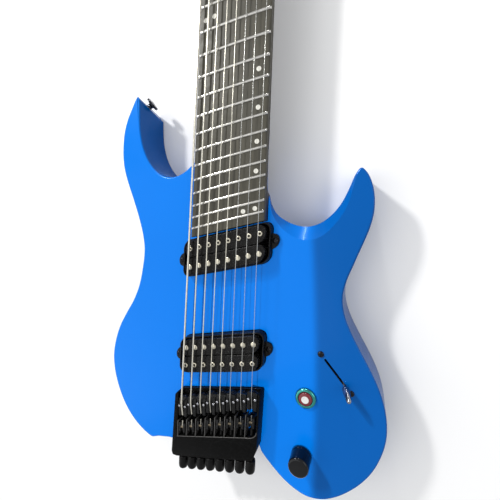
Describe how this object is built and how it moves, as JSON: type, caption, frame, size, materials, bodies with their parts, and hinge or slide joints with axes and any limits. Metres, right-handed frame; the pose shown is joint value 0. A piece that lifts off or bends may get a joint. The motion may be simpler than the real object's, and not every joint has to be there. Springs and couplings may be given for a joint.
{
  "type": "electric guitar",
  "caption": "Headless multiscale electric guitar with a slim horned body, long fretted neck, slanted pickups, saddle bridge, screw tuners and simple controls.",
  "frame": {"origin": "on the centre line of the body's flat back, under the saddle of the lowest string; the guitar lies on its back", "axes": "+Z out of the front face, +Y along the neck towards the head, +X towards the treble side"},
  "size_m": [0.2866, 0.7986, 0.0566],
  "materials": {
    "body_lacquer": "satin blue lacquer over wood",
    "neck_wood": "dark stained, satin",
    "dark_wood": "oiled dark wood with metal frets",
    "rod_steel": "plain",
    "nut_plastic": "polished edge",
    "black_metal": "satin black",
    "saddle_metal": "semi-gloss black",
    "knob_grey": "satin dark grey",
    "string_steel": "plain and wound wire",
    "pickup_plastic": "black",
    "bare_steel": "plated",
    "black_chrome": "black chrome",
    "button_ring": "tinted plating",
    "button_red": "dark red",
    "cover_plastic": "fine texture",
    "dark_hardware": "black nickel"
  },
  "bodies": {
    "root": {"body": "body_lacquer", "neck": "neck_wood", "truss_rod": "rod_steel", "fretboard": "dark_wood", "nut": "nut_plastic", "headpiece": "black_metal", "string_1": "string_steel", "string_2": "string_steel", "string_3": "string_steel", "string_4": "string_steel", "string_5": "string_steel", "string_6": "string_steel", "string_7": "string_steel", "string_8": "string_steel", "bridge_base": "black_metal", "neck_pickup_base": "pickup_plastic", "neck_pickup_screw_bobbin": "pickup_plastic", "neck_pickup_slug_bobbin": "pickup_plastic", "bridge_pickup_base": "pickup_plastic", "bridge_pickup_screw_bobbin": "pickup_plastic", "bridge_pickup_slug_bobbin": "pickup_plastic", "volume_pot": "bare_steel", "button_housing": "button_ring", "button_spring": "bare_steel", "switch_frame": "bare_steel", "control_cover": "cover_plastic", "neck_plate": "dark_hardware", "output_jack": "dark_hardware", "strap_button_upper": "dark_hardware", "strap_button_lower": "dark_hardware"},
    "tuner_1": {"tuner_knob_1": "knob_grey"},
    "carriage_1": {"tuner_carriage_1": "saddle_metal"},
    "saddle_1": {"saddle_1": "saddle_metal"},
    "tuner_2": {"tuner_knob_2": "knob_grey"},
    "carriage_2": {"tuner_carriage_2": "saddle_metal"},
    "saddle_2": {"saddle_2": "saddle_metal"},
    "tuner_3": {"tuner_knob_3": "knob_grey"},
    "carriage_3": {"tuner_carriage_3": "saddle_metal"},
    "saddle_3": {"saddle_3": "saddle_metal"},
    "tuner_4": {"tuner_knob_4": "knob_grey"},
    "carriage_4": {"tuner_carriage_4": "saddle_metal"},
    "saddle_4": {"saddle_4": "saddle_metal"},
    "tuner_5": {"tuner_knob_5": "knob_grey"},
    "carriage_5": {"tuner_carriage_5": "saddle_metal"},
    "saddle_5": {"saddle_5": "saddle_metal"},
    "tuner_6": {"tuner_knob_6": "knob_grey"},
    "carriage_6": {"tuner_carriage_6": "saddle_metal"},
    "saddle_6": {"saddle_6": "saddle_metal"},
    "tuner_7": {"tuner_knob_7": "knob_grey"},
    "carriage_7": {"tuner_carriage_7": "saddle_metal"},
    "saddle_7": {"saddle_7": "saddle_metal"},
    "tuner_8": {"tuner_knob_8": "knob_grey"},
    "carriage_8": {"tuner_carriage_8": "saddle_metal"},
    "saddle_8": {"saddle_8": "saddle_metal"},
    "volume": {"volume_knob": "black_chrome", "volume_shaft": "bare_steel"},
    "button": {"button_cap": "button_red"},
    "selector": {"switch_lever": "bare_steel", "switch_tip": "black_chrome"}
  },
  "joints": [
    {"name": "tuner_1_turn", "type": "hinge", "parent": "root", "child": "tuner_1", "pos_m": [-0.03751, -0.06627, 0.048], "axis": [0, 1, 0], "range_deg": [-1450, 1450]},
    {"name": "carriage_1_slide", "type": "slide", "parent": "root", "child": "carriage_1", "axis": [0, 1, 0], "range_m": [-0.0032, 0.0032]},
    {"name": "saddle_1_slide", "type": "slide", "parent": "root", "child": "saddle_1", "axis": [0, 1, 0], "range_m": [-0.002, 0.002]},
    {"name": "tuner_2_turn", "type": "hinge", "parent": "root", "child": "tuner_2", "pos_m": [-0.02722, -0.06331, 0.048], "axis": [0, 1, 0], "range_deg": [-1450, 1450]},
    {"name": "carriage_2_slide", "type": "slide", "parent": "root", "child": "carriage_2", "axis": [0, 1, 0], "range_m": [-0.0032, 0.0032]},
    {"name": "saddle_2_slide", "type": "slide", "parent": "root", "child": "saddle_2", "axis": [0, 1, 0], "range_m": [-0.002, 0.002]},
    {"name": "tuner_3_turn", "type": "hinge", "parent": "root", "child": "tuner_3", "pos_m": [-0.01693, -0.06036, 0.048], "axis": [0, 1, 0], "range_deg": [-1450, 1450]},
    {"name": "carriage_3_slide", "type": "slide", "parent": "root", "child": "carriage_3", "axis": [0, 1, 0], "range_m": [-0.0032, 0.0032]},
    {"name": "saddle_3_slide", "type": "slide", "parent": "root", "child": "saddle_3", "axis": [0, 1, 0], "range_m": [-0.002, 0.002]},
    {"name": "tuner_4_turn", "type": "hinge", "parent": "root", "child": "tuner_4", "pos_m": [-0.00664, -0.05741, 0.048], "axis": [0, 1, 0], "range_deg": [-1450, 1450]},
    {"name": "carriage_4_slide", "type": "slide", "parent": "root", "child": "carriage_4", "axis": [0, 1, 0], "range_m": [-0.0032, 0.0032]},
    {"name": "saddle_4_slide", "type": "slide", "parent": "root", "child": "saddle_4", "axis": [0, 1, 0], "range_m": [-0.002, 0.002]},
    {"name": "tuner_5_turn", "type": "hinge", "parent": "root", "child": "tuner_5", "pos_m": [0.00364, -0.05445, 0.048], "axis": [0, 1, 0], "range_deg": [-1450, 1450]},
    {"name": "carriage_5_slide", "type": "slide", "parent": "root", "child": "carriage_5", "axis": [0, 1, 0], "range_m": [-0.0032, 0.0032]},
    {"name": "saddle_5_slide", "type": "slide", "parent": "root", "child": "saddle_5", "axis": [0, 1, 0], "range_m": [-0.002, 0.002]},
    {"name": "tuner_6_turn", "type": "hinge", "parent": "root", "child": "tuner_6", "pos_m": [0.01393, -0.0515, 0.048], "axis": [0, 1, 0], "range_deg": [-1450, 1450]},
    {"name": "carriage_6_slide", "type": "slide", "parent": "root", "child": "carriage_6", "axis": [0, 1, 0], "range_m": [-0.0032, 0.0032]},
    {"name": "saddle_6_slide", "type": "slide", "parent": "root", "child": "saddle_6", "axis": [0, 1, 0], "range_m": [-0.002, 0.002]},
    {"name": "tuner_7_turn", "type": "hinge", "parent": "root", "child": "tuner_7", "pos_m": [0.02423, -0.04855, 0.048], "axis": [0, 1, 0], "range_deg": [-1450, 1450]},
    {"name": "carriage_7_slide", "type": "slide", "parent": "root", "child": "carriage_7", "axis": [0, 1, 0], "range_m": [-0.0032, 0.0032]},
    {"name": "saddle_7_slide", "type": "slide", "parent": "root", "child": "saddle_7", "axis": [0, 1, 0], "range_m": [-0.002, 0.002]},
    {"name": "tuner_8_turn", "type": "hinge", "parent": "root", "child": "tuner_8", "pos_m": [0.03451, -0.04559, 0.048], "axis": [0, 1, 0], "range_deg": [-1450, 1450]},
    {"name": "carriage_8_slide", "type": "slide", "parent": "root", "child": "carriage_8", "axis": [0, 1, 0], "range_m": [-0.0032, 0.0032]},
    {"name": "saddle_8_slide", "type": "slide", "parent": "root", "child": "saddle_8", "axis": [0, 1, 0], "range_m": [-0.002, 0.002]},
    {"name": "volume_turn", "type": "hinge", "parent": "root", "child": "volume", "pos_m": [0.0796, -0.0243, 0.045], "axis": [0, 0, 1], "range_deg": [0, 300]},
    {"name": "button_press", "type": "slide", "parent": "root", "child": "button", "axis": [0, 0, -1], "range_m": [0, 0.0025], "stiffness_N_per_m": 400, "springref_m": -0.001, "deforming": ["button_spring"]},
    {"name": "selector_swing", "type": "hinge", "parent": "root", "child": "selector", "pos_m": [0.1029, 0.0572, 0.014], "axis": [0.7312, 0.6822, 0], "range_deg": [-48, 0]}
  ],
  "couplings": [
    {"joint": "tuner_1_turn", "follows": "carriage_1_slide", "rad_per_m": -7854},
    {"joint": "tuner_2_turn", "follows": "carriage_2_slide", "rad_per_m": -7854},
    {"joint": "tuner_3_turn", "follows": "carriage_3_slide", "rad_per_m": -7854},
    {"joint": "tuner_4_turn", "follows": "carriage_4_slide", "rad_per_m": -7854},
    {"joint": "tuner_5_turn", "follows": "carriage_5_slide", "rad_per_m": -7854},
    {"joint": "tuner_6_turn", "follows": "carriage_6_slide", "rad_per_m": -7854},
    {"joint": "tuner_7_turn", "follows": "carriage_7_slide", "rad_per_m": -7854},
    {"joint": "tuner_8_turn", "follows": "carriage_8_slide", "rad_per_m": -7854}
  ]
}
